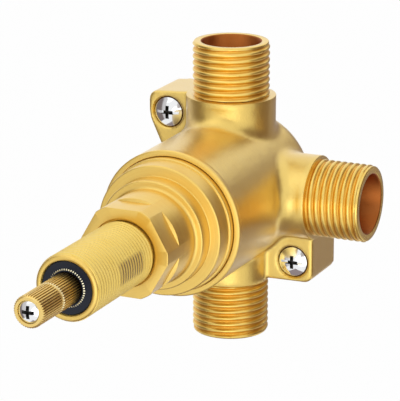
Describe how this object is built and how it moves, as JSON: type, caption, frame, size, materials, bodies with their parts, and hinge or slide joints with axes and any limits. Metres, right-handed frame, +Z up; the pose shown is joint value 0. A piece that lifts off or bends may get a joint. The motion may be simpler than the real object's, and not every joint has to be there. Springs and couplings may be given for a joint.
{
  "type": "shower diverter valve",
  "caption": "Brass in-wall shower diverter valve with threaded pipe nipples, screw ears, a stepped bonnet, a threaded sleeve and a splined stem whose quarter turn swaps the outlet.",
  "frame": {"origin": "where the axes of the pipe nipples cross the stem axis", "axes": "+Z up along the top nipple, +X along the side nipple, -Y along the stem towards the user; the back at +Y goes to the wall"},
  "size_m": [0.0656, 0.1327, 0.082],
  "materials": {
    "cast_brass": "satin, as cast and blasted",
    "turned_brass": "machined",
    "sleeve_brass": "machined, fine thread",
    "stem_brass": "machined, dull",
    "rotor_brass": "ground",
    "chrome": "bright",
    "steel": "plain",
    "black_plastic": "moulded",
    "shell_plastic": "moulded",
    "seat_plastic": "smooth",
    "rubber": "smooth"
  },
  "bodies": {
    "valve": {"valve_body": "cast_brass", "bonnet": "turned_brass", "threaded_sleeve": "sleeve_brass", "ear_screw_upper": "chrome", "ear_screw_lower": "chrome", "cartridge_shell": "shell_plastic", "shell_o_ring": "rubber", "bonnet_o_ring": "rubber", "stop_ring": "turned_brass", "front_washer": "seat_plastic", "rear_washer": "seat_plastic", "seat_top": "seat_plastic", "seat_side": "seat_plastic", "seat_bottom": "seat_plastic", "seal_top": "rubber", "seal_side": "rubber", "seal_bottom": "rubber"},
    "stem_assembly": {"stem": "stem_brass", "stop_pin": "steel", "stem_clip": "steel", "stem_bush": "black_plastic", "handle_screw": "chrome", "rotor": "rotor_brass", "rotor_o_ring": "rubber", "stem_o_ring_inner": "rubber", "stem_o_ring_outer": "rubber"}
  },
  "joints": [
    {"name": "stem_turn", "type": "hinge", "parent": "valve", "child": "stem_assembly", "pos_m": [0, 0, 0], "axis": [0, 1, 0], "range_deg": [0, 90]}
  ]
}
